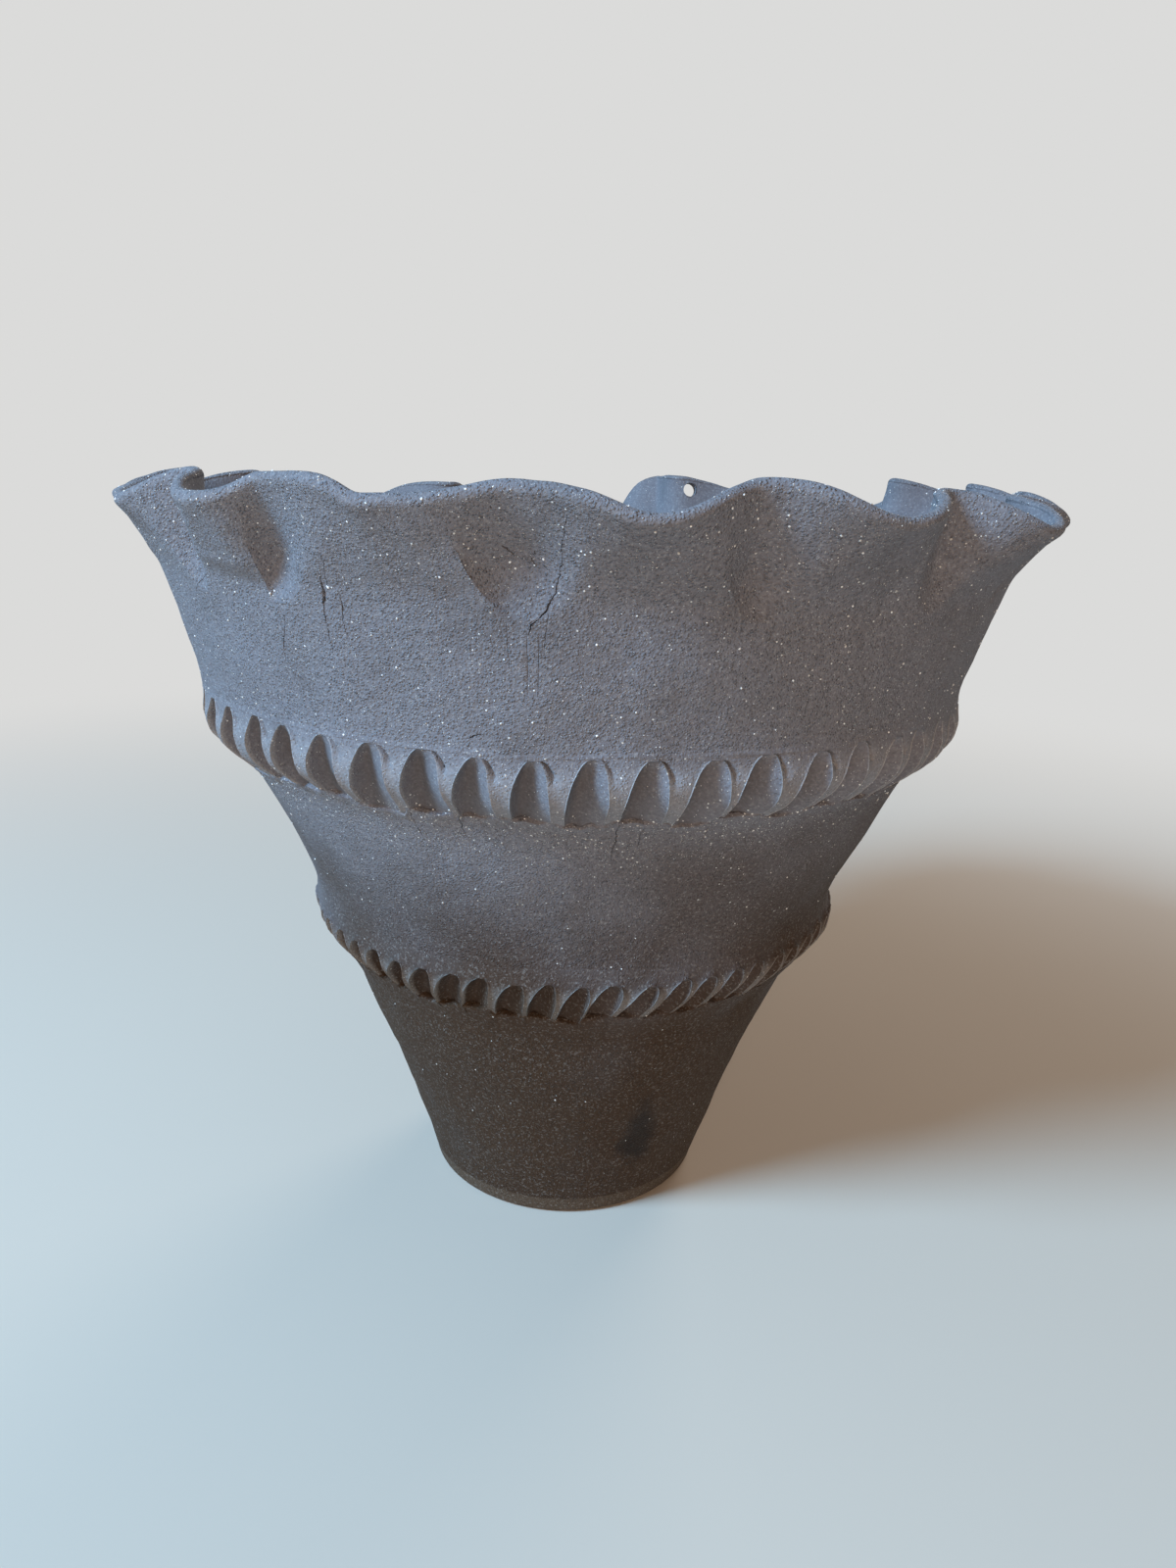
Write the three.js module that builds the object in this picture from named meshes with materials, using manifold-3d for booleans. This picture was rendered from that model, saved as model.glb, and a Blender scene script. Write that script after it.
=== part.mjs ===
// A wide hand-built stoneware pot: a flat foot slab, three flaring wall tiers set one on another,
// a finger-pressed clay band over each of the two lower joints, and a ruffled collar at the mouth.
// Millimetres, +Z up. The origin is on the ground, under the middle of the pot, and -Y is the front.
import * as THREE from "three";
import { mergeVertices } from "three/addons/utils/BufferGeometryUtils.js";
import Module from "manifold-3d";

// Foot slab
const footRadius = 64.5;
const footEdgeRadius = 4;
const footSlabHeight = 9;

// Wall tiers, each a straight-sided cone standing on the one below
const lowerWallHeight = 129;
const middleWallHeight = 98;
const upperWallHeight = 45;
const lowerJointRadius = 110.5;
const upperJointRadius = 158;
const collarRootRadius = 172;
const wallThickness = 8;
const insideCornerRadius = 9;

// The whole pot leans a little to the right, as a hand-built one does
const mouthLean = 5.5;

// Ruffled collar: where the thumb folded it in it stands up, and between the folds it flares and droops.
// Heights are from its root, and reaches are outwards from its root.
// A fold is narrow at the root, foldFootShare of a ruffle to each side, and half a ruffle at the lip.
const foldHeight = 39;
const lobeHeight = 31;
const foldReach = 3;
const lobeReach = 26;
const foldFootShare = 0.2;
const lipThickness = 4.6;

// Tie hole through the back of the collar
const tieHoleDiameter = 7.6;
const tieHoleDegrees = 161.5;
const tieHoleRise = 31.5;

// Pressed bands: a strip of clay laid round a joint, with fingertip hollows drawn down across it.
// above and below are its reach from the joint, and proud is how far it stands off the wall.
// droop 1 is a swell highest at the strip's middle, and more hangs lower.
// The hollows start at the joint, and lean their tops to the right.
const bandSeat = 0.3;
const bandEdge = 1;
const upperBand = {
  above: 5,
  below: 28,
  proud: 9,
  droop: 1.2,
  presses: 54,
  pressLength: 25,
  pressLean: 6,
};
const lowerBand = {
  above: 9,
  below: 30,
  proud: 8,
  droop: 0.9,
  presses: 59,
  pressLength: 19,
  pressLean: 16,
};
const hollowShare = 0.72;

// Each ruffle is a fold and the lobe on its right, seen from the front.
// at: the fold's direction in degrees, 0 at the front and 90 at the pot's right.
// foldLift, lobeLift and lobeOut are how far this fold and lobe stray from the sizes above.
const ruffles = [
  { at: 17.5, foldLift: 0, lobeLift: -2.5, lobeOut: 0 },
  { at: 39, foldLift: -1, lobeLift: -4.5, lobeOut: 2 },
  { at: 59, foldLift: -2, lobeLift: -4, lobeOut: -4 },
  { at: 79, foldLift: -2, lobeLift: -4, lobeOut: -2 },
  { at: 98.5, foldLift: 1, lobeLift: -5, lobeOut: 1 },
  { at: 118, foldLift: 3.5, lobeLift: -6, lobeOut: 0 },
  { at: 140, foldLift: 0, lobeLift: 0, lobeOut: -2 },
  { at: 164, foldLift: 1, lobeLift: -11, lobeOut: 2 },
  { at: 187.5, foldLift: -3, lobeLift: -8, lobeOut: 0 },
  { at: 210, foldLift: -4, lobeLift: -9, lobeOut: 1 },
  { at: 229, foldLift: -3, lobeLift: -5, lobeOut: -1 },
  { at: 248, foldLift: -0.5, lobeLift: -2, lobeOut: 0 },
  { at: 269, foldLift: 0, lobeLift: -1, lobeOut: -3 },
  { at: 290.5, foldLift: -0.5, lobeLift: -1, lobeOut: -6 },
  { at: 312, foldLift: 0.5, lobeLift: -1, lobeOut: -2 },
  { at: 333, foldLift: 0.7, lobeLift: -1.5, lobeOut: 0 },
  { at: 355, foldLift: -1.2, lobeLift: -2, lobeOut: 0 },
];

// Facets
const lowerWallSides = 48;
const middleWallSides = 72;
const upperWallSides = 90;
const columnsPerRuffle = 9;
const collarRows = [0, 0.2, 0.4, 0.6, 0.8, 0.95];
const tieHoleSides = 20;

const lowerJointHeight = footSlabHeight + lowerWallHeight;
const upperJointHeight = lowerJointHeight + middleWallHeight;
const collarRootHeight = upperJointHeight + upperWallHeight;
const mouthHeight = collarRootHeight + foldHeight;
const upperWallSlope = (collarRootRadius - upperJointRadius) / upperWallHeight;

const { lerp, smoothstep, degToRad, radToDeg } = THREE.MathUtils;

// The wall's outer radius at a height: three cones, one for each tier.
function wallRadius(z) {
  if (z < lowerJointHeight) {
    const rise = (z - footEdgeRadius) / (lowerJointHeight - footEdgeRadius);
    return lerp(footRadius, lowerJointRadius, rise);
  }
  if (z < upperJointHeight) {
    return lerp(lowerJointRadius, upperJointRadius, (z - lowerJointHeight) / middleWallHeight);
  }
  return upperJointRadius + (z - upperJointHeight) * upperWallSlope;
}

// How far the pot has leaned over to the right at a height.
function leanAt(z) {
  return (mouthLean * z) / mouthHeight;
}

// A point of the pot from its direction, radius and height.
function potPoint(degrees, radius, z) {
  const angle = degToRad(degrees);
  return new THREE.Vector3(radius * Math.sin(angle) + leanAt(z), -radius * Math.cos(angle), z);
}

// A closed ring from a list of columns. Each column is the same number of points round the ring's
// section, going up the outside and down the inside.
function ringGeometry(columns) {
  const points = columns[0].length;
  const index = [];
  columns.forEach((column, c) => {
    const next = (c + 1) % columns.length;
    for (let p = 0; p < points; p++) {
      const q = (p + 1) % points;
      const [a, b] = [c * points + p, c * points + q];
      const [d, e] = [next * points + p, next * points + q];
      index.push(a, d, e, a, e, b);
    }
  });
  const geometry = new THREE.BufferGeometry().setFromPoints(columns.flat());
  geometry.setIndex(index);
  return geometry;
}

// A ring that turns one section, [radius, height] pairs, round the pot.
function turnedRing(section, sides) {
  const columns = [];
  for (let side = 0; side < sides; side++) {
    const degrees = (360 * side) / sides;
    columns.push(section.map(([radius, z]) => potPoint(degrees, radius, z)));
  }
  return ringGeometry(columns);
}

function footSlab() {
  const arcSteps = 4;
  const profile = [new THREE.Vector2(0, 0)];
  for (let step = 0; step <= arcSteps; step++) {
    const turn = ((step / arcSteps) * Math.PI) / 2;
    const radius = footRadius - footEdgeRadius + footEdgeRadius * Math.sin(turn);
    profile.push(new THREE.Vector2(radius, footEdgeRadius - footEdgeRadius * Math.cos(turn)));
  }
  profile.push(new THREE.Vector2(wallRadius(footSlabHeight), footSlabHeight));
  profile.push(new THREE.Vector2(0, footSlabHeight));
  const geometry = new THREE.LatheGeometry(profile, lowerWallSides).rotateX(Math.PI / 2);
  const position = geometry.getAttribute("position");
  for (let i = 0; i < position.count; i++) {
    position.setX(i, position.getX(i) + leanAt(position.getZ(i)));
  }
  return geometry;
}

// The lowest tier, with the clay smoothed into the inside corner over the slab.
function lowerWall() {
  const cornerSteps = 3;
  const section = [
    [wallRadius(footSlabHeight), footSlabHeight],
    [lowerJointRadius, lowerJointHeight],
    [lowerJointRadius - wallThickness, lowerJointHeight],
  ];
  for (let step = 0; step <= cornerSteps; step++) {
    const turn = ((step / cornerSteps) * Math.PI) / 2;
    const z = footSlabHeight + insideCornerRadius * (1 - Math.sin(turn));
    const cove = insideCornerRadius * (1 - Math.cos(turn));
    section.push([wallRadius(z) - wallThickness - cove, z]);
  }
  return turnedRing(section, lowerWallSides);
}

function plainTier(bottom, top, bottomRadius, topRadius, sides) {
  const section = [
    [bottomRadius, bottom],
    [topRadius, top],
    [topRadius - wallThickness, top],
    [bottomRadius - wallThickness, bottom],
  ];
  return turnedRing(section, sides);
}

// A band laid round a joint. Its back follows the two walls, and its front swells out below the joint.
// Each hollow is an arch: narrow at the joint, widening as the fingertip was drawn down.
// A row is a drop below the joint, with the hollow's width there as a share of the spacing, and its
// depth as a share of the deepest. Each hollow has two ridges and, between them, two lines of floor.
function pressedBand(joint, band) {
  const { above, below, proud, droop, presses, pressLength, pressLean } = band;
  const rows = [
    { drop: -above, width: 0.35, depth: 0 },
    { drop: 0, width: 0.35, depth: 0 },
    { drop: 0.22 * pressLength, width: 0.6, depth: 1 },
    { drop: 0.58 * pressLength, width: 0.74, depth: 1 },
    { drop: 0.9 * pressLength, width: 0.84, depth: 0.9 },
    { drop: below, width: 0.84, depth: 0.3 },
  ];
  const backWidth = 0.74;
  const spacing = 360 / presses;
  const lean = Math.tan(degToRad(pressLean));
  const swellAt = (z) => {
    const down = (joint + above - z) / (above + below);
    return (proud - bandEdge) * Math.sin(Math.PI * Math.pow(down, droop));
  };
  const columns = [];
  for (let press = 0; press < presses; press++) {
    for (const across of [-0.5, -0.2, 0.2, 0.5]) {
      const onRidge = Math.abs(across) === 0.5;
      const front = rows.map(({ drop, width, depth }) => {
        const z = joint - drop;
        const shift = radToDeg((lean * (pressLength / 2 - drop)) / wallRadius(z));
        const out = swellAt(z) * (onRidge ? 1 : 1 - hollowShare * depth);
        const degrees = spacing * (press + across * width) + shift;
        return potPoint(degrees, wallRadius(z) + bandSeat + bandEdge + out, z);
      });
      const back = [joint + above, joint, joint - below].map((z) =>
        potPoint(spacing * (press + across * backWidth), wallRadius(z) + bandSeat, z),
      );
      columns.push([...front.reverse(), ...back]);
    }
  }
  return ringGeometry(columns);
}

// The ruffle at a direction: its fold and lobe sizes, blended between neighbours, and toFold,
// which is 0 on a fold and 0.5 in the middle of a lobe.
function ruffleAt(degrees) {
  const round = (angle) => ((angle % 360) + 360) % 360;
  const last = ruffles.length - 1;
  let i = ruffles.findIndex((fold, k) => {
    const next = ruffles[k === last ? 0 : k + 1];
    return round(degrees - fold.at) < round(next.at - fold.at);
  });
  if (i < 0) i = last;
  const fold = ruffles[i];
  const next = ruffles[i === last ? 0 : i + 1];
  const share = round(degrees - fold.at) / round(next.at - fold.at);
  const before = ruffles[i === 0 ? last : i - 1];
  const foldLift = lerp(fold.foldLift, next.foldLift, smoothstep(share, 0, 1));
  // A lobe keeps its own size across its middle, and meets its neighbour's on the fold.
  const other = share < 0.5 ? before : next;
  const own = smoothstep(Math.min(share, 1 - share), -0.25, 0.25);
  return {
    toFold: Math.min(share, 1 - share),
    foldLift,
    lobeLift: lerp(other.lobeLift, fold.lobeLift, own),
    lobeOut: lerp(other.lobeOut, fold.lobeOut, own),
  };
}

// A point on the collar's outside: rise is 0 at its root and 1 at its lip.
function collarPoint(degrees, rise) {
  const ruffle = ruffleAt(degrees);
  const width = lerp(foldFootShare, 0.5, rise);
  const foldAt = (reach) => (1 + Math.cos(Math.PI * Math.min(1, ruffle.toFold / reach))) / 2;
  const foldTop = foldHeight + ruffle.foldLift;
  const lobeTop = lobeHeight + ruffle.lobeLift;
  const height = rise * lerp(lobeTop, foldTop, foldAt(0.5));
  const foldBend = (foldReach - upperWallSlope * foldTop) / (foldTop * foldTop);
  const lobeBend = (lobeReach + ruffle.lobeOut - upperWallSlope * lobeTop) / (lobeTop * lobeTop);
  const bend = lerp(lobeBend, foldBend, foldAt(width));
  const radius = collarRootRadius + upperWallSlope * height + bend * height * height;
  return potPoint(degrees, radius, collarRootHeight + height);
}

// The direction square to the collar's outside. It is level at the root, which sits flat on the wall.
function collarOutwards(degrees, rise) {
  const turn = 0.5;
  const drop = 0.05;
  const levelBelow = 0.3;
  const along = collarPoint(degrees + turn, rise).sub(collarPoint(degrees - turn, rise));
  const up = collarPoint(degrees, rise).sub(collarPoint(degrees, rise - drop));
  const outwards = along.cross(up);
  outwards.z *= smoothstep(rise, 0, levelBelow);
  return outwards.normalize();
}

// The collar's section in one direction: its outside, a round lip, and an inside one thickness
// behind the outside. The thickness is the wall's at the root, and the lip's from thinBy upwards.
function collarSection(degrees) {
  const thinBy = 0.6;
  const thicknessAt = (rise) => lerp(wallThickness, lipThickness, smoothstep(rise, 0, thinBy));
  const outside = collarRows.map((rise) => collarPoint(degrees, rise));
  const inside = collarRows.map((rise, row) =>
    outside[row].clone().addScaledVector(collarOutwards(degrees, rise), -thicknessAt(rise)),
  );
  const top = collarRows.length - 1;
  const lipMiddle = outside[top].clone().add(inside[top]).multiplyScalar(0.5);
  const upwards = collarPoint(degrees, 1).sub(outside[top]).normalize();
  const inwards = inside[top].clone().sub(outside[top]).normalize();
  const lip = [-45, 0, 45].map((turn) => {
    const angle = degToRad(turn);
    return lipMiddle
      .clone()
      .addScaledVector(upwards, (lipThickness / 2) * Math.cos(angle))
      .addScaledVector(inwards, (lipThickness / 2) * Math.sin(angle));
  });
  return [...outside, ...lip, ...inside.reverse()];
}

function collarRing() {
  const columns = [];
  ruffles.forEach((fold, i) => {
    const next = ruffles[(i + 1) % ruffles.length];
    const span = (next.at - fold.at + 360) % 360;
    for (let c = 0; c < columnsPerRuffle; c++) {
      columns.push(collarSection(fold.at + (span * c) / columnsPerRuffle));
    }
  });
  return ringGeometry(columns);
}

const wasm = await Module();
wasm.setup();

function toSolid(geometry) {
  const plain = geometry.clone();
  plain.deleteAttribute("normal");
  plain.deleteAttribute("uv");
  const merged = mergeVertices(plain);
  return new wasm.Manifold(
    new wasm.Mesh({
      numProp: 3,
      vertProperties: merged.getAttribute("position").array,
      triVerts: new Uint32Array(merged.getIndex().array),
    }),
  );
}

function toGeometry(solid) {
  const mesh = solid.getMesh();
  const geometry = new THREE.BufferGeometry();
  geometry.setAttribute("position", new THREE.BufferAttribute(mesh.vertProperties, 3));
  geometry.setIndex(new THREE.BufferAttribute(mesh.triVerts, 1));
  return geometry;
}

// The tie hole is bored square to the collar's wall, from well outside it to well inside.
function collar() {
  const rise = tieHoleRise / foldHeight;
  const middle = collarPoint(tieHoleDegrees, rise);
  const radius = tieHoleDiameter / 2;
  const drill = new THREE.CylinderGeometry(radius, radius, 4 * wallThickness, tieHoleSides);
  const bore = collarOutwards(tieHoleDegrees, rise);
  const turn = new THREE.Quaternion().setFromUnitVectors(new THREE.Vector3(0, 1, 0), bore);
  drill.applyQuaternion(turn).translate(middle.x, middle.y, middle.z);
  return toGeometry(toSolid(collarRing()).subtract(toSolid(drill)));
}

const clay = { roughness: 0.9, metalness: 0 };
const wallClay = new THREE.MeshStandardMaterial({ color: 0x6f6769, ...clay });
const bandClay = new THREE.MeshStandardMaterial({ color: 0x655d60, ...clay });
const footClay = new THREE.MeshStandardMaterial({ color: 0x5f564f, ...clay });

const pot = new THREE.Group();

function addPiece(name, geometry, material) {
  const piece = new THREE.Mesh(geometry, material);
  piece.name = name;
  pot.add(piece);
}

addPiece("foot_slab", footSlab(), footClay);
addPiece("lower_wall", lowerWall(), wallClay);
addPiece(
  "middle_wall",
  plainTier(lowerJointHeight, upperJointHeight, lowerJointRadius, upperJointRadius, middleWallSides),
  wallClay,
);
addPiece(
  "upper_wall",
  plainTier(upperJointHeight, collarRootHeight, upperJointRadius, collarRootRadius, upperWallSides),
  wallClay,
);
addPiece("ruffled_collar", collar(), wallClay);
addPiece("lower_pressed_band", pressedBand(lowerJointHeight, lowerBand), bandClay);
addPiece("upper_pressed_band", pressedBand(upperJointHeight, upperBand), bandClay);

export default pot;
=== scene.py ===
# %% [markdown]
# # A ruffled stoneware pot
# The real thing is a wide pot built by hand from rolled clay: a small flat foot, three flaring walls set
# one on another, a strip of clay pressed down over each joint with a fingertip, and a mouth pinched into
# a ruffle. It is fired without a glaze, so the raw groggy clay shows everywhere.
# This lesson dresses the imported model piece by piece. Each visible piece stands in for one CAD node and
# stays in that node's place, so nothing here has to be fitted afterwards.

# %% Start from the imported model
import math
import random

import bpy
from mathutils import Matrix, Vector
from mathutils.bvhtree import BVHTree
from mathutils.noise import noise


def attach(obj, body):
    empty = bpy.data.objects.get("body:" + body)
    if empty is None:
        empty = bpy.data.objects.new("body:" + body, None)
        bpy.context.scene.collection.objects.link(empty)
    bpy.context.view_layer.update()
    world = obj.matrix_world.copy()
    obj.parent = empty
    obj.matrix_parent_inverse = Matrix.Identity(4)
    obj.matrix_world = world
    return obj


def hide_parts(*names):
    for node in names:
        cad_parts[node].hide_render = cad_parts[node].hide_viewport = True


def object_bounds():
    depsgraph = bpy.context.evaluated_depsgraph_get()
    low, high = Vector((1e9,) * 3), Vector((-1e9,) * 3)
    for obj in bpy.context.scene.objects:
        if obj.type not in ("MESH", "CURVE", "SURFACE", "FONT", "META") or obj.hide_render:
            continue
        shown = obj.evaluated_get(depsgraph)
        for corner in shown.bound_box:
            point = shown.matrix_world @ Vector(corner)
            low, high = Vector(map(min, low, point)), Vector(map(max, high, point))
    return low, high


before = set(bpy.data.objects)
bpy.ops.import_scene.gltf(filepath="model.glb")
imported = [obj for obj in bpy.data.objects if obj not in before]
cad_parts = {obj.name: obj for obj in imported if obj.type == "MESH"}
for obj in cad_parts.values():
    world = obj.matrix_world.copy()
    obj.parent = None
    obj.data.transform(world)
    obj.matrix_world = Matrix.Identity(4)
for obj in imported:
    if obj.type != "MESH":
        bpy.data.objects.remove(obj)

cad_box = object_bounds()
MM = 0.001
print("CAD nodes:", ", ".join(sorted(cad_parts)))

# %% [markdown]
# ## The camera
# The photograph was taken from close up with a wide lens, a little above the rim and turned by just over
# a degree. The camera is built from those four facts, so that the render can be laid over the picture.

# %% Camera
CAMERA_PLACE = Vector((7.7, -483.0, 321.5)) * MM
CAMERA_DOWN = math.radians(15.9)
CAMERA_TURN = math.radians(1.4)
CAMERA_LENS = 24.975

lens = bpy.data.cameras.new("camera")
lens.lens = CAMERA_LENS
lens.sensor_width = 36
lens.clip_start = 0.01
camera = bpy.data.objects.new("camera", lens)
camera.matrix_world = (
    Matrix.Translation(CAMERA_PLACE)
    @ Matrix.Rotation(math.radians(90) - CAMERA_DOWN, 4, "X")
    @ Matrix.Rotation(CAMERA_TURN, 4, "Z")
)
bpy.context.collection.objects.link(camera)
bpy.context.scene.camera = camera
print("camera at", [round(x, 3) for x in camera.location])

# %% [markdown]
# ## Sizes
# The walls are three cones, 8 mm thick, that meet at two joints. The outside follows them, and swells out
# over each joint where a band of clay covers it. `OUTLINE` is that outside as height and radius, taken up
# the side of the pot, and one smooth curve through it is enough for every wall and band.

# %% Sizes of the walls
FOOT_HEIGHT = 9 * MM
FOOT_EDGE = 4 * MM
LOWER_JOINT = 138 * MM
UPPER_JOINT = 236 * MM
COLLAR_ROOT = 281 * MM
WALL = 8 * MM
LEAN = 5.5 / 320
OUTLINE = [
    (4, 63.9), (9, 65.4), (20, 68.3), (35, 73.2), (50, 78.4), (65, 84.2), (80, 90.1), (95, 95.8),
    (104, 98.9), (110, 101.4), (118, 106.6), (125, 112.0), (132, 115.8), (138, 117.0), (144, 117.0),
    (150, 117.5), (158, 120.0), (168, 124.4), (178, 129.0), (188, 133.8), (198, 138.8), (207, 144.2),
    (212, 148.6), (217, 154.6), (222, 159.4), (228, 161.4), (234, 160.9), (241, 160.9), (248, 162.3),
    (258, 165.0), (270, 168.6), (281, 172.0),
]
CONES = [(4, 64.5), (138, 110.5), (236, 158.0), (281, 172.0)]


def between(low, high, value):
    """0 at low, 1 at high, and eased in and out between them."""
    share = min(1.0, max(0.0, (value - low) / (high - low)))
    return share * share * (3 - 2 * share)


def mix(start, end, share):
    return start + (end - start) * share


def outside_radius(z):
    """The pot's outside at a height: a smooth curve through OUTLINE, which never overshoots by much."""
    height = min(max(z / MM, OUTLINE[0][0]), OUTLINE[-1][0])
    i = 0
    while i < len(OUTLINE) - 2 and height > OUTLINE[i + 1][0]:
        i += 1
    (z0, r0), (z1, r1) = OUTLINE[i], OUTLINE[i + 1]
    zb, rb = OUTLINE[max(i - 1, 0)]
    za, ra = OUTLINE[min(i + 2, len(OUTLINE) - 1)]
    slope0 = (r1 - rb) / (z1 - zb)
    slope1 = (ra - r0) / (za - z0)
    span = z1 - z0
    t = (height - z0) / span
    bend = (t - 1) * (t - 1) * t * slope0 * span + (t - 1) * t * t * slope1 * span
    return (mix(r0, r1, t * t * (3 - 2 * t)) + bend) * MM


def cone_radius(z):
    """The plain wall's radius, without the bands."""
    height = z / MM
    for (z0, r0), (z1, r1) in zip(CONES, CONES[1:]):
        if height <= z1:
            break
    return mix(r0, r1, (height - z0) / (z1 - z0)) * MM


def lean_at(z):
    return LEAN * z


def pot_point(degrees, radius, z):
    """A point from its direction, 0 at the front and 90 at the pot's right."""
    angle = math.radians(degrees)
    return Vector((radius * math.sin(angle) + lean_at(z), -radius * math.cos(angle), z))


print("radius at the joints:", [round(outside_radius(z) / MM, 1) for z in (LOWER_JOINT, UPPER_JOINT)])

# %% [markdown]
# ## Working habits
# An operator acts on everything that is selected, so each piece starts with nothing selected. Every piece
# ends the same way too: a slight hand-made wobble, smooth shading with crisp edges, its clay, its place on
# the body, and the CAD node that it stands for, hidden.
#
# The wobble comes from cloud textures read at each point's own place. Neighbouring pieces share the
# clouds, so their seams move together and stay shut. The foot is held flat by a weight that fades out
# towards the ground.

# %% Helpers for every piece
def start_clean():
    if bpy.context.object and bpy.context.object.mode != "OBJECT":
        bpy.ops.object.mode_set(mode="OBJECT")
    bpy.ops.object.select_all(action="DESELECT")


def work_on(piece):
    start_clean()
    piece.select_set(True)
    bpy.context.view_layer.objects.active = piece


def close_up():
    """Turns every face outwards and leaves edit mode."""
    bpy.ops.mesh.select_all(action="SELECT")
    bpy.ops.mesh.normals_make_consistent(inside=False)
    bpy.ops.object.mode_set(mode="OBJECT")


def apply_modifier(piece, kind, **settings):
    added = piece.modifiers.new("change", kind)
    for setting, value in settings.items():
        setattr(added, setting, value)
    bpy.ops.object.modifier_apply(modifier=added.name)


def make_clouds(name, size):
    clouds = bpy.data.textures.new(name, "CLOUDS")
    clouds.cloud_type = "COLOR"
    clouds.noise_basis = "IMPROVED_PERLIN"
    clouds.noise_scale = size
    clouds.noise_depth = 1
    return clouds


WOBBLES = [
    (make_clouds("palm_sized_wobble", 55 * MM), 5.0 * MM),
    (make_clouds("finger_sized_wobble", 13 * MM), 1.1 * MM),
]
HELD_BELOW = 4 * MM
FREE_ABOVE = 40 * MM
# The weights' name. It is kept as text, because a modifier that is applied may move the group itself.
STEADY = "free_of_the_ground"
SHARP_EDGE = math.radians(38)


def wobble(piece):
    weights = piece.vertex_groups.new(name=STEADY)
    for vertex in piece.data.vertices:
        weights.add([vertex.index], between(HELD_BELOW, FREE_ABOVE, vertex.co.z), "REPLACE")
    for clouds, strength in WOBBLES:
        apply_modifier(
            piece, "DISPLACE", texture=clouds, texture_coords="LOCAL", direction="RGB_TO_XYZ",
            mid_level=0.5, strength=strength, vertex_group=STEADY,
        )
    piece.vertex_groups.clear()


def finish_piece(piece, node, clay):
    work_on(piece)
    bpy.ops.object.shade_smooth_by_angle(angle=SHARP_EDGE)
    piece.data.materials.clear()
    piece.data.materials.append(clay)
    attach(piece, "root")
    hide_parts(node)
    print(piece.name, "has", len(piece.data.polygons), "faces")


# %% [markdown]
# ## The clay
# Raw groggy stoneware is never one colour. It is a slate grey above and darker and browner towards the
# foot, partly its own tone and partly painted shade, mottled by the fire, pimpled with grit about a
# millimetre across, and dotted with pale grog that catches the light. Where a finger has passed, the grit
# is pushed in and the surface is finely brushed.
#
# An image texture would stretch over the ruffle, so each clay is made of noise read at the point's own
# place (Object coordinates), which runs on unbroken from piece to piece. An attribute that the pieces
# carry,
# 0 to 1, says where a finger has passed, and in the bands' hollows also how deep the painted shade is.

# %% Small helpers for nodes
def feed(node, **inputs):
    """Fills a node's inputs with values, or with sockets to link in. i6 is the input numbered 6."""
    for name, value in inputs.items():
        key = int(name[1:]) if name[0] == "i" and name[1:].isdigit() else name.replace("_", " ")
        if isinstance(value, bpy.types.NodeSocket):
            node.id_data.links.new(value, node.inputs[key])
        else:
            node.inputs[key].default_value = value


def add_node(tree, kind, settings=(), **inputs):
    """Adds a node. settings are its own options."""
    made = tree.nodes.new(kind)
    for option, value in dict(settings).items():
        setattr(made, option, value)
    feed(made, **inputs)
    return made


def new_material(name):
    """A material, its shader, and a socket that gives each point's own place."""
    material = bpy.data.materials.new(name)
    material.use_nodes = True
    tree = material.node_tree
    return material, tree.nodes["Principled BSDF"], add_node(tree, "ShaderNodeTexCoord").outputs["Object"]


def ramp(value, low, high, start=0.0, end=1.0):
    """Maps low..high to start..end, eased and clamped."""
    made = add_node(
        value.id_data, "ShaderNodeMapRange", {"interpolation_type": "SMOOTHSTEP"},
        Value=value, From_Min=low, From_Max=high, To_Min=start, To_Max=end,
    )
    return made.outputs["Result"]


def maths(operation, a, b):
    return add_node(a.id_data, "ShaderNodeMath", {"operation": operation}, i0=a, i1=b).outputs[0]


def plus(a, b):
    return maths("ADD", a, b)


def times(a, b):
    return maths("MULTIPLY", a, b)


def distance(vector):
    made = add_node(vector.id_data, "ShaderNodeVectorMath", {"operation": "LENGTH"}, Vector=vector)
    return made.outputs["Value"]


def blend(share, a, b):
    """A mix of two colours: share 0 gives a and 1 gives b."""
    made = add_node(share.id_data, "ShaderNodeMix", {"data_type": "RGBA"}, i0=share, i6=a, i7=b)
    return made.outputs[2]


def colour(red, green, blue):
    """A colour as a screen shows it, 0 to 255, turned into the linear light that Blender works in."""
    shown = [part / 255 for part in (red, green, blue)]
    return (*[part / 12.92 if part < 0.04 else ((part + 0.055) / 1.055) ** 2.4 for part in shown], 1)


# %% The recipe that the three clays share
# Slate above and BROWN towards the foot: the darker, browner lower clay and the foot's colour are partly
# the clay's own tone and partly painted shade
SLATE = colour(113, 110, 114)
BROWN = colour(57, 38, 20)
DARK = colour(58, 50, 46)
GROG = colour(236, 232, 226)
FOOT_RUB = colour(78, 62, 47)
SMUDGE = colour(27, 20, 16)
SMUDGE_PLACE = (0.033, -0.07, 0.05)
SMUDGE_SHAPE = (0.7, 1.0, 1.5)
# How fine each noise is: about so many features in a metre
FIRE_DRIFT = 9.0
MOTTLE = 34.0
LUMPS = 120.0
GRIT_CROPS = 420.0
COARSE_GROG = 560.0
DUST = 900.0
GRIT = 1050.0
FINE_GROG = 1100.0
BRUSH_LINES = 1500.0
FINE_GRIT = 2100.0
PULLED_UPRIGHT = (1.0, 1.0, 0.2)


def noise_at(place, scale, detail, rough=0.5):
    made = add_node(
        place.id_data, "ShaderNodeTexNoise", Vector=place, Scale=scale, Detail=detail, Roughness=rough
    )
    return made.outputs["Fac"]


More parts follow.
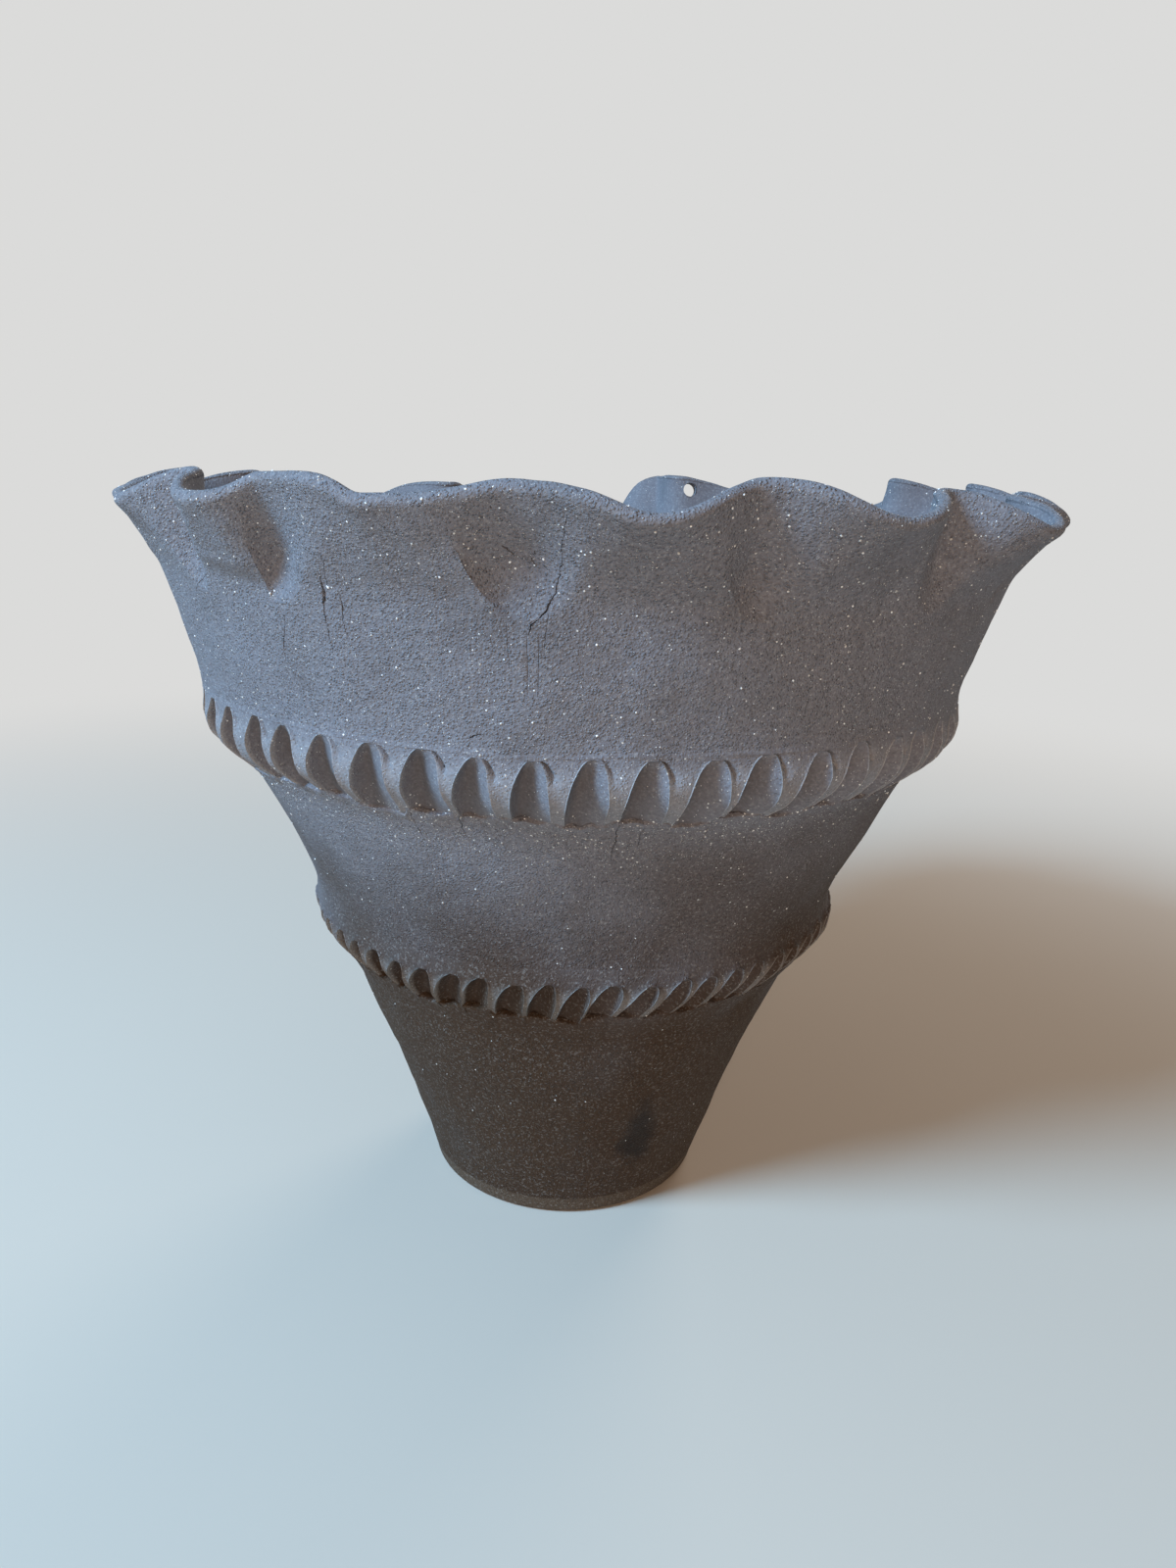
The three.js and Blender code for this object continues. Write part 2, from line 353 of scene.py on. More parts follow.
def grog_specks(place, scale, crowd):
    """Pale grains: one may sit in each cell, and the cell's own random value against crowd decides."""
    tree = place.id_data
    cells = add_node(tree, "ShaderNodeTexVoronoi", Vector=place, Scale=scale)
    lot = add_node(tree, "ShaderNodeSeparateColor", Color=cells.outputs["Color"]).outputs["Red"]
    core = ramp(cells.outputs["Distance"], 0.16, 0.24, 1.0, 0.0)
    return times(maths("LESS_THAN", lot, crowd), core)


def make_clay(name, upper, lower, grit, burnish_and_shade=0.0):
    clay, shader, place = new_material(name)
    tree = clay.node_tree
    height = add_node(tree, "ShaderNodeSeparateXYZ", Vector=place).outputs["Z"]
    smoothed = add_node(tree, "ShaderNodeAttribute", {"attribute_name": "smoothed"}).outputs["Fac"]
    rubbed_and_highlight = add_node(tree, "ShaderNodeAttribute", {"attribute_name": "rubbed_and_highlight"}).outputs["Fac"]
    untouched = ramp(smoothed, 0.0, 1.0, 1.0, 0.12)

    # Slate above and darker brown below, partly painted shade, its edge shifted by the fire's slow changes
    # of colour; a mottle of a hand's width, and dust as fine as the grit
    drift = noise_at(place, FIRE_DRIFT, 3.0)
    risen = plus(height, ramp(drift, 0.2, 0.8, -0.05, 0.05))
    body = blend(ramp(risen, 0.09, 0.25), lower, upper)
    mottle = noise_at(place, MOTTLE, 5.0, 0.6)
    body = blend(ramp(mottle, 0.5, 0.8, 0.0, 0.35), body, DARK)
    dust = noise_at(place, DUST, 3.0, 0.65)
    body = blend(ramp(dust, 0.5, 0.75, 0.0, 0.14), body, GROG)
    body = blend(ramp(dust, 0.5, 0.28, 0.0, 0.3), body, DARK)

    # One dark smudge low on the right, left by the fire; edges rubbed paler, partly a painted highlight;
    # and hollows darker, partly burnish and partly painted shade
    from_smudge = add_node(
        tree, "ShaderNodeMapping", {"vector_type": "TEXTURE"},
        Vector=place, Location=SMUDGE_PLACE, Scale=SMUDGE_SHAPE,
    )
    apart = plus(distance(from_smudge.outputs[0]), ramp(mottle, 0.3, 0.7, -0.006, 0.006))
    body = blend(ramp(apart, 0.017, 0.006, 0.0, 0.8), body, SMUDGE)
    # Pale rubbed edges, ridges and lip: partly wear, partly a painted highlight
    body = blend(times(rubbed_and_highlight, 0.2), body, GROG)
    # Painted shade: the deeper in a band's hollow, the darker, partly as burnish
    body = blend(ramp(smoothed, 0.35, 1.0, 0.0, burnish_and_shade), body, DARK)

    # Grog crowds near the lip and as a crust under the upper band, and thins out towards the foot
    crowd = plus(ramp(height, 0.27, 0.325, 0.0, 0.12), ramp(height, 0.12, 0.25, 0.003, 0.115))
    crust = times(ramp(height, 0.188, 0.206), ramp(height, 0.216, 0.21, 0.0, 0.32))
    crowd = times(plus(crowd, crust), ramp(drift, 0.3, 0.7, 0.6, 1.4))
    crowd = plus(times(crowd, untouched), times(rubbed_and_highlight, 0.18))
    coarse = grog_specks(place, COARSE_GROG, times(crowd, 0.5))
    fine = grog_specks(place, FINE_GROG, times(crowd, 2.2))
    speck = maths("MAXIMUM", coarse, times(fine, 0.7))
    body = blend(times(speck, 0.8), body, GROG)

    # Dry clay scatters light; a grain of grog has small bright faces
    dry = maths("SUBTRACT", ramp(mottle, 0.3, 0.7, 0.92, 0.82), times(speck, 0.5))

    # Relief: pimples of grit where no finger has passed, fine brush lines where one has
    grit_cells = add_node(tree, "ShaderNodeTexVoronoi", Vector=place, Scale=GRIT).outputs["Distance"]
    crop = ramp(noise_at(place, GRIT_CROPS, 2.0), 0.35, 0.7, 0.35, 1.0)
    pimples = times(ramp(grit_cells, 0.05, 0.6, 1.0, 0.0), crop)
    pimples = plus(pimples, times(noise_at(place, FINE_GRIT, 2.0), 0.5))
    rough_relief = plus(pimples, times(noise_at(place, LUMPS, 3.0), 1.6))
    rough_relief = times(plus(rough_relief, times(speck, 0.7)), untouched)
    pulled = add_node(tree, "ShaderNodeMapping", Vector=place, Scale=PULLED_UPRIGHT).outputs[0]
    brushed = times(noise_at(pulled, BRUSH_LINES, 2.0), smoothed)
    relief = plus(rough_relief, times(brushed, 0.35))
    bump = add_node(tree, "ShaderNodeBump", Height=relief, Strength=1.0, Distance=grit)
    feed(shader, Base_Color=body, Roughness=dry, Specular_IOR_Level=0.3, Normal=bump.outputs["Normal"])
    return clay


wall_clay = make_clay("wall_clay", SLATE, BROWN, 0.6 * MM)
# The bands' clay darkens their hollows: partly burnish, partly painted shade
band_clay = make_clay("band_clay", SLATE, BROWN, 0.4 * MM, burnish_and_shade=0.5)
foot_clay = make_clay("foot_clay", BROWN, FOOT_RUB, 0.4 * MM)
print("clays:", wall_clay.name, band_clay.name, foot_clay.name)

# %% [markdown]
# ## The foot slab
# The pot stands on a rolled disc of clay, 129 mm across, with its lower edge rubbed round. A disc with a
# round edge is quickest as a filled circle, raised ring by ring: each extrusion lifts the rim a little
# and widens it along a quarter circle.

# %% Model the foot slab
WALL_SIDES = 360
ARC_STEPS = 6
TOP_RINGS = (0.85, 0.7, 0.55, 0.4, 0.25, 0.1, 0.02)


def widen_ring(old, new):
    """Extrudes the selected ring of edges from one (radius, height) to the next."""
    (radius, z), (new_radius, new_z) = old, new
    shift = (lean_at(new_z) - lean_at(z), 0, new_z - z)
    bpy.ops.mesh.extrude_edges_move(TRANSFORM_OT_translate={"value": shift})
    grow = new_radius / radius
    bpy.ops.transform.resize(value=(grow, grow, 1), center_override=(lean_at(new_z), 0, new_z))


def start_ring(name, radius, z, fill):
    start_clean()
    place = (lean_at(z), 0, z)
    bpy.ops.mesh.primitive_circle_add(vertices=WALL_SIDES, radius=radius, fill_type=fill, location=place)
    piece = bpy.context.object
    piece.name = name
    bpy.ops.object.transform_apply(location=True, rotation=True, scale=True)
    bpy.ops.object.mode_set(mode="EDIT")
    bpy.ops.mesh.select_mode(type="EDGE")
    bpy.ops.mesh.select_all(action="SELECT")
    return piece


def foot_section():
    """The slab's edge as (radius, height), from its underside up and in over its top."""
    flat = outside_radius(FOOT_EDGE) - FOOT_EDGE
    section = []
    for step in range(ARC_STEPS + 1):
        turn = math.radians(90 * step / ARC_STEPS)
        section.append((flat + FOOT_EDGE * math.sin(turn), FOOT_EDGE * (1 - math.cos(turn))))
    section.append((outside_radius(FOOT_HEIGHT), FOOT_HEIGHT))
    section += [(outside_radius(FOOT_HEIGHT) * share, FOOT_HEIGHT) for share in TOP_RINGS]
    return section


section = foot_section()
foot_slab = start_ring("foot_slab_clay", *section[0], "NGON")
for old, new in zip(section, section[1:]):
    widen_ring(old, new)
bpy.ops.mesh.edge_face_add()
close_up()
wobble(foot_slab)
finish_piece(foot_slab, "foot_slab", foot_clay)

# %% [markdown]
# ## The three walls
# Each wall is a ring of clay. Its section goes up the outside, across the top, down the inside and back,
# so it is drawn as a list of (radius, height) and a circle is extruded from one to the next. The last ring
# is bridged to the first, which closes the wall. Behind a band the wall steps in, so that the band lies
# in it flush and no seam shows.

# %% Model the walls
HIDDEN = 0.8 * MM
OVERLAP = 2.5 * MM
RING_STEP = 4 * MM
BAND_EDGES = {"lower": (108 * MM, 147 * MM), "upper": (207 * MM, 241 * MM)}


def rise_between(low, high, step=RING_STEP):
    """Heights from low to high, evenly spaced and about a step apart."""
    count = max(1, round((high - low) / step))
    return [low + (high - low) * i / count for i in range(count + 1)]


def shown(low, high):
    return [(outside_radius(z), z) for z in rise_between(low, high)]


def behind_band(low, high):
    return [(cone_radius(z) - HIDDEN, z) for z in rise_between(low, high, 3 * RING_STEP)]


def inside(high, low):
    return [(cone_radius(z) - WALL, z) for z in reversed(rise_between(low, high, 2 * RING_STEP))]


def inside_corner(radius):
    """The clay thumbed into the corner over the slab, a quarter circle from the wall to the floor."""
    corner = []
    for step in range(1, ARC_STEPS + 1):
        turn = math.radians(90 * step / ARC_STEPS)
        z = FOOT_HEIGHT + radius * (1 - math.sin(turn))
        corner.append((cone_radius(z) - WALL - radius * (1 - math.cos(turn)), z))
    return corner


def turned_wall(name, section):
    piece = start_ring(name, *section[0], "NOTHING")
    for old, new in zip(section, section[1:]):
        widen_ring(old, new)
    bpy.ops.mesh.select_all(action="DESELECT")
    bpy.ops.mesh.select_non_manifold()
    bpy.ops.mesh.bridge_edge_loops()
    close_up()
    smooth_the_inside(piece)
    wobble(piece)
    return piece


def smooth_the_inside(piece):
    """Marks the clay that faces the middle of the pot as smoothed by a finger."""
    marks = piece.data.attributes.new("smoothed", "FLOAT", "POINT")
    values = []
    for vertex in piece.data.vertices:
        outwards = Vector((vertex.co.x - lean_at(vertex.co.z), vertex.co.y, 0)).normalized()
        values.append(between(0.2, -0.2, vertex.normal.dot(outwards)) * 0.75)
    marks.data.foreach_set("value", values)


CORNER = 9 * MM
under_lower = BAND_EDGES["lower"][0] + OVERLAP
over_lower = BAND_EDGES["lower"][1] - OVERLAP
under_upper = BAND_EDGES["upper"][0] + OVERLAP
over_upper = BAND_EDGES["upper"][1] - OVERLAP
lower_section = shown(FOOT_HEIGHT, under_lower) + behind_band(under_lower, LOWER_JOINT)
lower_section += inside(LOWER_JOINT, FOOT_HEIGHT + CORNER) + inside_corner(CORNER)
middle_section = behind_band(LOWER_JOINT, over_lower) + shown(over_lower, under_upper)
middle_section += behind_band(under_upper, UPPER_JOINT) + inside(UPPER_JOINT, LOWER_JOINT)
upper_section = behind_band(UPPER_JOINT, over_upper) + shown(over_upper, COLLAR_ROOT)
upper_section += inside(COLLAR_ROOT, UPPER_JOINT)

lower_wall = turned_wall("lower_wall_clay", lower_section)
middle_wall = turned_wall("middle_wall_clay", middle_section)
upper_wall = turned_wall("upper_wall_clay", upper_section)
print("rings in the walls:", len(lower_section), len(middle_section), len(upper_section))

# %% [markdown]
# ## The ruffled collar
# The maker pinched the wet rim: at each fold a thumb pushed the wall in and up, and between two folds the
# clay was left to flare and droop. Seen from outside, a fold is a dent in the shape of a V. Its left side
# is a steep, crisp wall and its right side eases out, because the thumb came in from the left.
#
# No row of extrusions gives that, so the collar is a flat grid that is rolled up: a function says where
# every crossing of the grid goes. The grid's columns run along the creases, which keeps them crisp.

# %% The seventeen ruffles
# One line for each fold and the lobe on its right, seen from the front. Lengths are in millimetres, and
# are strays from the usual sizes below.
# at and foot: the fold's direction at the lip, and how far round its dent starts. low: where the lobe
# droops lowest, as a share of the way to the next fold. square: how long the fold stays high on its
# right before it falls, from 1. left and right: how crisp the dent's creases are.
RUFFLE_FACTS = "at foot low square fold_lift fold_out lobe_lift lobe_out belly left right".split()
RUFFLE_TABLE = [
    (14.9, 2.6, 0.50, 1.3, 0, 11, -2.5, 0, 0.6, 0.6, 0.05),
    (40, 0, 0.50, 1, -1, 0, -4.5, 1, 0.3, 0.5, 0.3),
    (59, -1, 0.54, 1.1, -2, 0, -4, -5, 0.5, 0.8, 0.1),
    (79, 1, 0.46, 1, -2, 1.5, -4, -3, 0.2, 0.6, 0.3),
    (98.5, -1.5, 0.50, 1.2, 1, 0, -5, 1, 0.8, 0.9, 0),
    (118, 1, 0.52, 1, 3.5, 0, -6, 0, 0.3, 0.4, 0.4),
    (140, 0, 0.50, 1, 0, 2, 0, -3, 0.6, 0.8, 0.2),
    (163.5, -1, 0.44, 4.5, 1.5, 0, -13, -2, 0.2, 0.6, 0.1),
    (187.5, 1.5, 0.53, 1, -5, 1.5, -9, -3, 0.7, 0.9, 0.3),
    (207.5, 0, 0.50, 1.3, -5, 0, -9, 1, 0.4, 0.5, 0.2),
    (232, -1, 0.48, 1, -6.5, 0, -6, -1, 0.5, 0.7, 0),
    (249, 1, 0.52, 1.1, -1.5, 1, -3, 0, 0.3, 0.8, 0.4),
    (269, 0, 0.50, 1, 0, 0, -3, -3, 0.6, 0.5, 0.1),
    (290.5, 0, 0.56, 1, -4, 0, -1.5, -6, 0.4, 0.7, 0.2),
    (312, 0, 0.57, 1, 0.5, 1, -1, -2, 2.4, 0.6, 0.2),
    (329.5, -2.4, 0.47, 3.2, -1.2, 13, 1.5, -3, 1, 0.9, 0.05),
    (353.8, 1.6, 0.55, 1.6, -1.2, 15, -2, -1.2, 0.5, 1, 0.15),
]
# The three deep dents at the front. press and width: the dent's depth, and its left half at the lip,
# against the usual. late: under 1 the lip stays low for longer on the fold's left before it rises.
FRONT_DENTS = {
    0: {"press": 0.9, "width": 0.7, "late": 1.0},
    15: {"press": 1.15, "width": 0.5, "late": 0.6},
    16: {"press": 1.2, "width": 0.75, "late": 0.7},
}
USUAL_DENT = {"press": 1.0, "width": 1.0, "late": 1.0}
RUFFLES = [
    dict(zip(RUFFLE_FACTS, line)) | FRONT_DENTS.get(number, USUAL_DENT)
    for number, line in enumerate(RUFFLE_TABLE)
]
FOLD_HEIGHT = 39 * MM
LOBE_HEIGHT = 31 * MM
FOLD_REACH = 3 * MM
LOBE_REACH = 25.5 * MM
LIP = 4.6 * MM
THUMB_PUSH = 4.2 * MM
UPPER_SLOPE = 14 / 45
COLLAR_RADIUS = 172 * MM
# Shares of the way up: where a dent is deepest, where it fades, and where a lobe's belly comes and goes
DEEPEST_RISE = 0.42
DENT_FADES = (0.35, 0.97)
BELLY_COMES = (0.16, 0.4)
BELLY_GOES = (0.5, 1.0)
# How flat a sharp dent's bottom is, and how quickly it deepens
DENT_FLATNESS = 4.5
DENT_ONSET = 1.7
# How far from its fold the wall takes on the lobe's reach: at the root, and how much further at the lip
FOLD_SPREAD = 0.2
FOLD_SPREAD_MORE = 0.3


def crease_width(rise):
    """Half a dent's width between its creases, as a share of its ruffle: a tongue, narrow below."""
    return 0.08 + 0.44 * rise - 0.28 * rise**2


def crease_of(number, way, rise):
    """The nearest crease of a ruffle, as a share from its fold."""
    width = 1.0 if way < 0.5 else RUFFLES[(number + 1) % len(RUFFLES)]["width"]
    return crease_width(rise) * mix(1.0, width, rise)


def wave(share):
    """A soft swell: 1 at 0, eased down to 0 at 1."""
    return (1 + math.cos(math.pi * min(1.0, share))) / 2


def thumb_depth(across, rise, sharp):
    """How far the thumb went in. across is 0 on the fold's own line and 1 on the dent's crease."""
    profile = mix(wave(across), 1 - min(1.0, across) ** DENT_FLATNESS, sharp)
    deepening = 1 - (1 - min(1.0, rise / DEEPEST_RISE)) ** DENT_ONSET
    return THUMB_PUSH * profile * deepening * (1 - between(*DENT_FADES, rise))


def ruffle_point(number, way, rise, crisp):
    """A point on the collar's outside: way is the share from this fold to the next, and rise is 0 at
    the root and 1 at the lip. crisp is 1 for real creases and 0 for a soft wave."""
    before = RUFFLES[number - 1]
    fold = RUFFLES[number]
    after = RUFFLES[(number + 1) % len(RUFFLES)]
    start = fold["at"] + fold["foot"] * (1 - rise)
    end = after["at"] + after["foot"] * (1 - rise)
    degrees = start + (end - start) % 360 * (way + (4 * fold["low"] - 2) * way * (1 - way))
    to_fold = min(way, 1 - way)

    neighbour = before if way < 0.5 else after
    own = between(-0.25, 0.25, to_fold)
    along = between(0, 1, way)
    fold_top = FOLD_HEIGHT + mix(fold["fold_lift"], after["fold_lift"], along) * MM
    fold_reach = FOLD_REACH + mix(fold["fold_out"], after["fold_out"], along) * MM
    lobe_top = LOBE_HEIGHT + mix(neighbour["lobe_lift"], fold["lobe_lift"], own) * MM
    lobe_reach = LOBE_REACH + mix(neighbour["lobe_out"], fold["lobe_out"], own) * MM

    hold = fold["square"] if way < 0.5 else after["late"]
    level = rise * mix(lobe_top, fold_top, wave(2 * to_fold))
    height = rise * mix(lobe_top, fold_top, wave((2 * to_fold) ** hold))
    fold_bend = (fold_reach - UPPER_SLOPE * fold_top) / fold_top**2
    lobe_bend = (lobe_reach - UPPER_SLOPE * lobe_top) / lobe_top**2
    crease = crease_of(number, way, rise)
    soft = 1 - between(0, FOLD_SPREAD + FOLD_SPREAD_MORE * rise, to_fold)
    radius = COLLAR_RADIUS + UPPER_SLOPE * level + mix(lobe_bend, fold_bend, soft) * level**2
    sharp = crisp * (fold["right"] if way < 0.5 else after["left"])
    press = mix(fold["press"], after["press"], along)
    radius -= press * thumb_depth(to_fold / crease, rise, sharp)
    swell = between(*BELLY_COMES, rise) * (1 - between(*BELLY_GOES, rise))
    belly = fold["belly"] * crisp * (1 - soft) * swell
    return pot_point(degrees, radius + belly * MM, COLLAR_ROOT + height)


print("ruffles:", len(RUFFLES))

# %% Roll up the grid
# The lip begins at this share of the way up. Lanes are columns across half a dent, and across a lobe.
LIP_FROM = 0.95
OUTSIDE_ROWS = 28
INSIDE_ROWS = 18
LIP_ROWS = 7
DENT_LANES = 11
LOBE_LANES = 22
# Shares of the way up from which the wall is as thin as the lip, and from which its thickness runs square
# to the clay. At the root its thickness runs level, like the upper wall's.
THIN_FROM = 0.6
SQUARE_FROM = 0.3
SAME_PLACE = 0.001 * MM


def bend_grid(columns, rows, corners):
    """A flat grid with its crossings moved to corners."""
    start_clean()
    bpy.ops.mesh.primitive_grid_add(x_subdivisions=columns, y_subdivisions=rows, size=1)
    piece = bpy.context.object
    piece.data.vertices.foreach_set("co", [axis for corner in corners for axis in corner])
    return piece


def join_edges():
    """Goes into edit mode and joins the corners that have come to lie on each other."""
    bpy.ops.object.mode_set(mode="EDIT")
    bpy.ops.mesh.select_all(action="SELECT")
    bpy.ops.mesh.remove_doubles(threshold=SAME_PLACE)


def wrap_grid(name, places, marks):
    """Rolls a flat grid up into a closed ring. places[row][column] is where each crossing goes, and marks
    gives named values for each crossing in the same way."""
    rows = len(places)
    columns = len(places[0])
    crossings = [(row % rows, column % columns) for row in range(rows + 1) for column in range(columns + 1)]
    piece = bend_grid(columns, rows, [places[row][column] for row, column in crossings])
    piece.name = name
    for mark, values in marks.items():
        layer = piece.data.attributes.new(mark, "FLOAT", "POINT")
        layer.data.foreach_set("value", [values[row][column] for row, column in crossings])
    join_edges()
    close_up()
    wobble(piece)
    print(name, "columns and rows:", columns, rows)
    return piece


def ruffle_lanes(number, rise):
    """The columns of one ruffle as shares of it, the same number on each side of both creases."""
    first = crease_of(number, 0, rise)
    last = crease_of(number, 1, rise)
    lanes = [first * i / DENT_LANES for i in range(DENT_LANES)]
    lanes += [first + (1 - first - last) * i / LOBE_LANES for i in range(LOBE_LANES)]
    lanes += [1 - last + last * i / DENT_LANES for i in range(DENT_LANES)]
    return lanes


def collar_row(rise, crisp):
    return [
        ruffle_point(number, way, rise, crisp)
        for number in range(len(RUFFLES))
        for way in ruffle_lanes(number, rise)
    ]


def outward_directions(rows):
    """The direction square to the surface at each crossing, from its four neighbours."""
    found = []
    for i, row in enumerate(rows):
        above = rows[min(i + 1, len(rows) - 1)]
        below = rows[max(i - 1, 0)]
        line = []
        for j in range(len(row)):
            along = row[(j + 1) % len(row)] - row[j - 1]
            line.append(along.cross(above[j] - below[j]).normalized())
        found.append(line)
    return found


def collar_rows():
    rises = [LIP_FROM * i / OUTSIDE_ROWS for i in range(OUTSIDE_ROWS + 1)]
    outside = [collar_row(rise, 1) for rise in rises]
    inner_rises = [LIP_FROM * i / INSIDE_ROWS for i in range(INSIDE_ROWS + 1)]
    soft = [collar_row(rise, 0) for rise in inner_rises]
    inner = []
    for rise, row, directions in zip(inner_rises, soft, outward_directions(soft)):
        thick = mix(WALL, LIP, between(0, THIN_FROM, rise))
        level = between(0, SQUARE_FROM, rise)
        line = []
        for point, out in zip(row, directions):
            out = Vector((out.x, out.y, out.z * level)).normalized()
            line.append(point - out * thick)
        inner.append(line)
    lip = []
    for step in range(1, LIP_ROWS + 1):
        turn = math.radians(180 * step / (LIP_ROWS + 1))
        line = []
        for low, high, back in zip(outside[-2], outside[-1], inner[-1]):
            middle = (high + back) / 2
            round_up = (high - low).normalized() * (high - back).length / 2
            line.append(middle + (high - middle) * math.cos(turn) + round_up * math.sin(turn))
        lip.append(line)
    return outside, lip, inner


# The lip's faint pale rub is partly a painted highlight on its upturned top
LIP_RUB_AND_HIGHLIGHT = 0.05
outside, lip, inner = collar_rows()
collar_grid = outside + lip + inner[::-1]
collar_columns = len(outside[0])
smoothed = [0.0] * len(outside) + [0.1] * len(lip) + [0.85] * len(inner)
rubbed_and_highlight = [LIP_RUB_AND_HIGHLIGHT * between(OUTSIDE_ROWS - 2, OUTSIDE_ROWS + 1, row) for row in range(len(outside))]
rubbed_and_highlight += [LIP_RUB_AND_HIGHLIGHT] * len(lip) + [0.0] * len(inner)
collar_marks = {
    "smoothed": [[value] * collar_columns for value in smoothed],
    "rubbed_and_highlight": [[value] * collar_columns for value in rubbed_and_highlight],
}
collar = wrap_grid("ruffled_collar_clay", collar_grid, collar_marks)

# %% [markdown]
# ## The tie hole
# One small hole was pushed through the back of the collar with a rod. A cylinder set square to the clay
# and cut away with a Boolean modifier is the natural way to bore it. The Manifold solver is quick and
# leaves a closed mesh.

# %% Bore the tie hole
HOLE_RADIUS = 3.8 * MM
HOLE_DEGREES = 161.5
HOLE_RISE = 31.5 / 39


def cut_away(piece, cutter):
    work_on(piece)
    apply_modifier(piece, "BOOLEAN", operation="DIFFERENCE", solver="MANIFOLD", object=cutter)


def remove_piece(piece):
    bpy.data.objects.remove(piece, do_unlink=True)


def nearest_on_collar(degrees, rise):
    """The crossing of the grid that lies closest to a direction, and the direction square to it."""
    row = round(rise / LIP_FROM * OUTSIDE_ROWS)
    wanted = pot_point(degrees, 1, 0).xy

    def off_by(column):
        point = outside[row][column]
        return (point.xy - Vector((lean_at(point.z), 0))).angle(wanted)

    column = min(range(collar_columns), key=off_by)
    return outside[row][column], outward_directions(outside)[row][column]


middle, bore = nearest_on_collar(HOLE_DEGREES, HOLE_RISE)
start_clean()
turned = bore.to_track_quat("Z", "Y").to_euler()
bpy.ops.mesh.primitive_cylinder_add(
    vertices=48, radius=HOLE_RADIUS, depth=5 * WALL, location=middle, rotation=turned
)
rod = bpy.context.object
bpy.ops.object.transform_apply(location=True, rotation=True, scale=True)
cut_away(collar, rod)
remove_piece(rod)
print("tie hole at", [round(x / MM) for x in middle])

# %% [markdown]
# ## The pressed bands
# A strip of clay covers each joint. A fingertip was laid on its top edge and drawn down, again and again,
# which leaves a row of hollows: round at the top, a little wider below, steep on the left and easy on the
# right. On the upper band the nail dug in a small crescent on the right of each, and on the lower band a
# rim rose round each instead. Below the hollows the next wall's clay rides up in a ragged edge, and
# between two of them a flat ridge narrows to a point.
#
# The band is a rolled grid too. Each press has its own columns, which run along the hollow's two edges,
# and its own place, width, depth and slant, drawn at random from a fixed seed, so every run is the same.

# %% One press of the finger
# Columns across a hollow, from -1 to 1, and across the ridge on its right, from 0 to 1
HOLLOW_LANES = [math.sin(math.radians(90 * i / 8)) for i in range(-8, 9)]
RIDGE_LANES = [0.03, 0.07, 0.11, 0.16, 0.22, 0.3, 0.42, 0.58, 0.74, 0.88, 0.96]
# joint and edges are in metres, other lengths in millimetres. first: the first press's direction. start
# and length: how far its hollow's top lies below the joint, and how long it is. width: half the hollow's,
# as a share of the spacing. lean: its slant in degrees. depth: a share of the band's swell. round: how far
# down the arch goes on widening. nail and rim: how deep the nail dug, and how high the rim rose. The rub:
# how pale the ridges are made, partly rubbed wear and partly a painted highlight.
UPPER_BAND = dict(
    joint=UPPER_JOINT, edges=BAND_EDGES["upper"], presses=54, first=1.6, start=-1.2, length=24.0,
    width=0.395, lean=4, depth=0.94, round=24.0, nail=2.0, rub_and_highlight=0.35, rim=0.0, seed=11,
)
LOWER_BAND = dict(
    joint=LOWER_JOINT, edges=BAND_EDGES["lower"], presses=59, first=1.0, start=-1.3, length=17.0,
    width=0.43, lean=15, depth=0.9, round=12.0, nail=0.0, rub_and_highlight=0.5, rim=1.2, seed=23,
)
# The fingertip's length in millimetres, and how far across a hollow it went deepest
TIP_RADIUS = 5.0
DEEPEST = 0.22
# The burr on a hollow's edge, and how far the band's own edge is tucked in, in millimetres
BURR = 0.3
TUCK = 0.4
FAR_BELOW = 99
# Rows from the band's edge inwards: millimetres in, and how proud of the wall they stand
EDGE_ROWS = [(0, -TUCK), (1.2, -0.06), (2.0, 0.06), (3.4, 0.18)]
# Rows of a hollow, in millimetres below its top, then as shares of what is left of its length
ARCH_ROWS = [0, 0.2, 0.5, 0.9, 1.4, 2.1, 3.0, 4.1, 5.5, 7.2, 9.2, 11.5]
TROUGH_ROWS = [0.16, 0.34, 0.52, 0.68, 0.82, 0.91, 0.96, 1.0]
# Rows below it: millimetres down, how far the hollow has filled again, and how proud the dragged clay is
DRAG_ROWS = [(0.3, 0.15, -0.5), (0.7, 0.5, 0.1), (1.2, 0.75, 0.6), (2.0, 0.9, 0.5), (3.2, 1.0, 0.2)]


def draw_presses(band):
    chance = random.Random(band["seed"])
    spacing = 360 / band["presses"]
    presses = []
    for number in range(band["presses"]):
        presses.append({
            "middle": band["first"] + spacing * (number + chance.uniform(-0.06, 0.06)),
            "start": band["start"] + chance.uniform(-0.9, 0.9),
            "length": band["length"] + chance.uniform(-1.3, 1.3),
            "half": spacing * band["width"] * chance.uniform(0.92, 1.08),
            "lean": math.tan(math.radians(band["lean"] + chance.uniform(-3, 3))),
            "depth": band["depth"] * chance.uniform(0.88, 1.03),
            "nail": band["nail"] * chance.uniform(0.4, 1.2),
            "rim": band["rim"] * chance.uniform(0.6, 1.2),
        })
    return presses


def arch_width(down, across, band):
    """The hollow's width down its length, as a share of its width at the foot. Its left edge slants, and
    its right edge is nearly upright."""
    from_top = min(1.0, (down + 0.15) / band["round"])
    return (1 - (1 - from_top) ** 2) ** mix(0.52, 0.3, (across + 1) / 2)


